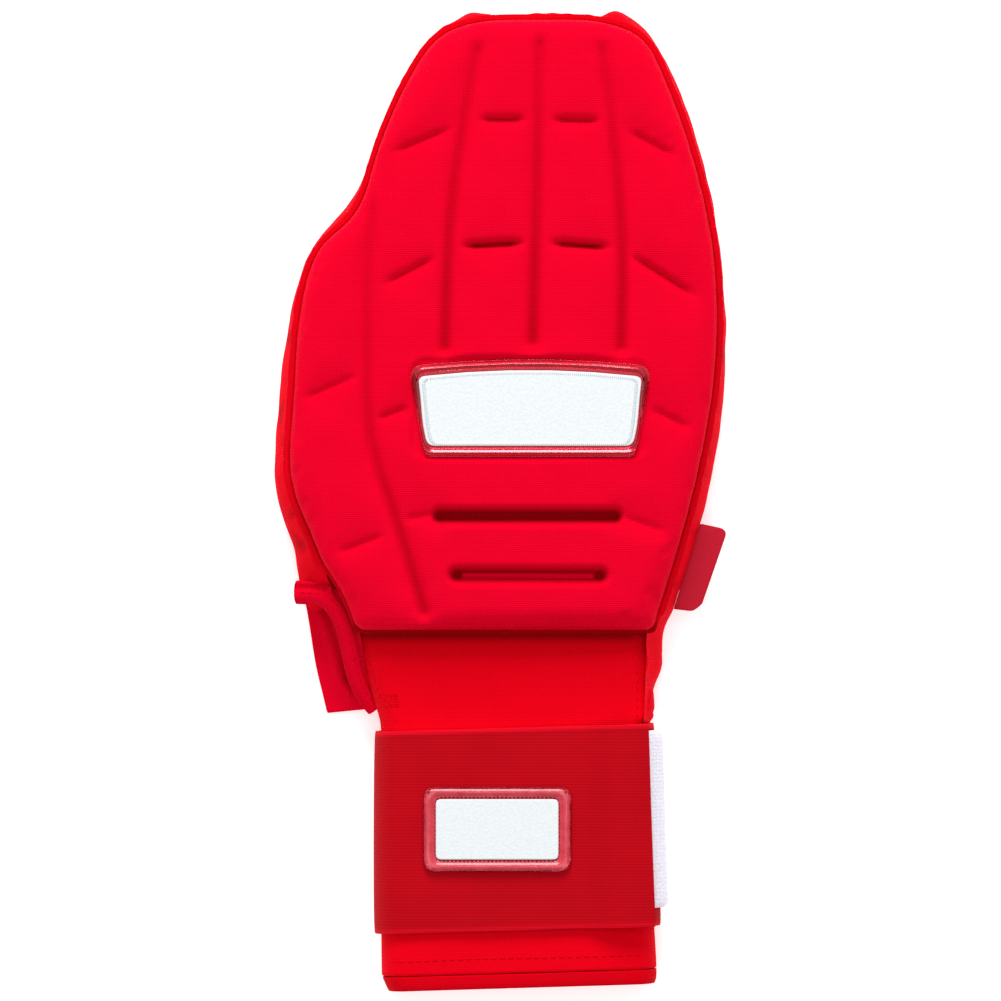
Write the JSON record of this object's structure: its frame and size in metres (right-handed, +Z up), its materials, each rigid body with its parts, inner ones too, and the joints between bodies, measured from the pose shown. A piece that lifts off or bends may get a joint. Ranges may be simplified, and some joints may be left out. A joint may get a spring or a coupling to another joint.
{
  "type": "sliding mitt",
  "caption": "Padded sliding mitt with a channelled foam back, a cloth side wall, an open wrist sleeve and a wide elastic strap, lying palm down.",
  "frame": {"origin": "on the surface that the mitt lies on, under the middle of its outline", "axes": "+Z up out of the back of the hand, +Y towards the fingertips, +X away from the thumb"},
  "size_m": [0.1407, 0.3043, 0.0353],
  "materials": {
    "foam_cover": "stretch fabric moulded over foam, matt with a soft sheen",
    "stretch_cloth": "knitted stretch fabric, matt",
    "elastic": "ribbed woven elastic, matt",
    "hook_tape": "white hook tape, slightly shiny",
    "gloss_rubber": "moulded rubber with a glossy red face",
    "white_rubber": "white textured face, satin",
    "label": "woven label, satin"
  },
  "bodies": {
    "root": {"back_pad": "foam_cover", "side_wall": "stretch_cloth", "palm_pad": "foam_cover", "thumb_gusset": "stretch_cloth", "thumb_hem": "stretch_cloth", "sleeve": "stretch_cloth", "sleeve_hem": "stretch_cloth", "wrist_strap": "elastic", "hook_tab": "hook_tape", "badge_frame": "gloss_rubber", "badge_field": "white_rubber", "patch_frame": "gloss_rubber", "patch_field": "white_rubber", "side_tag": "label"}
  },
  "joints": []
}
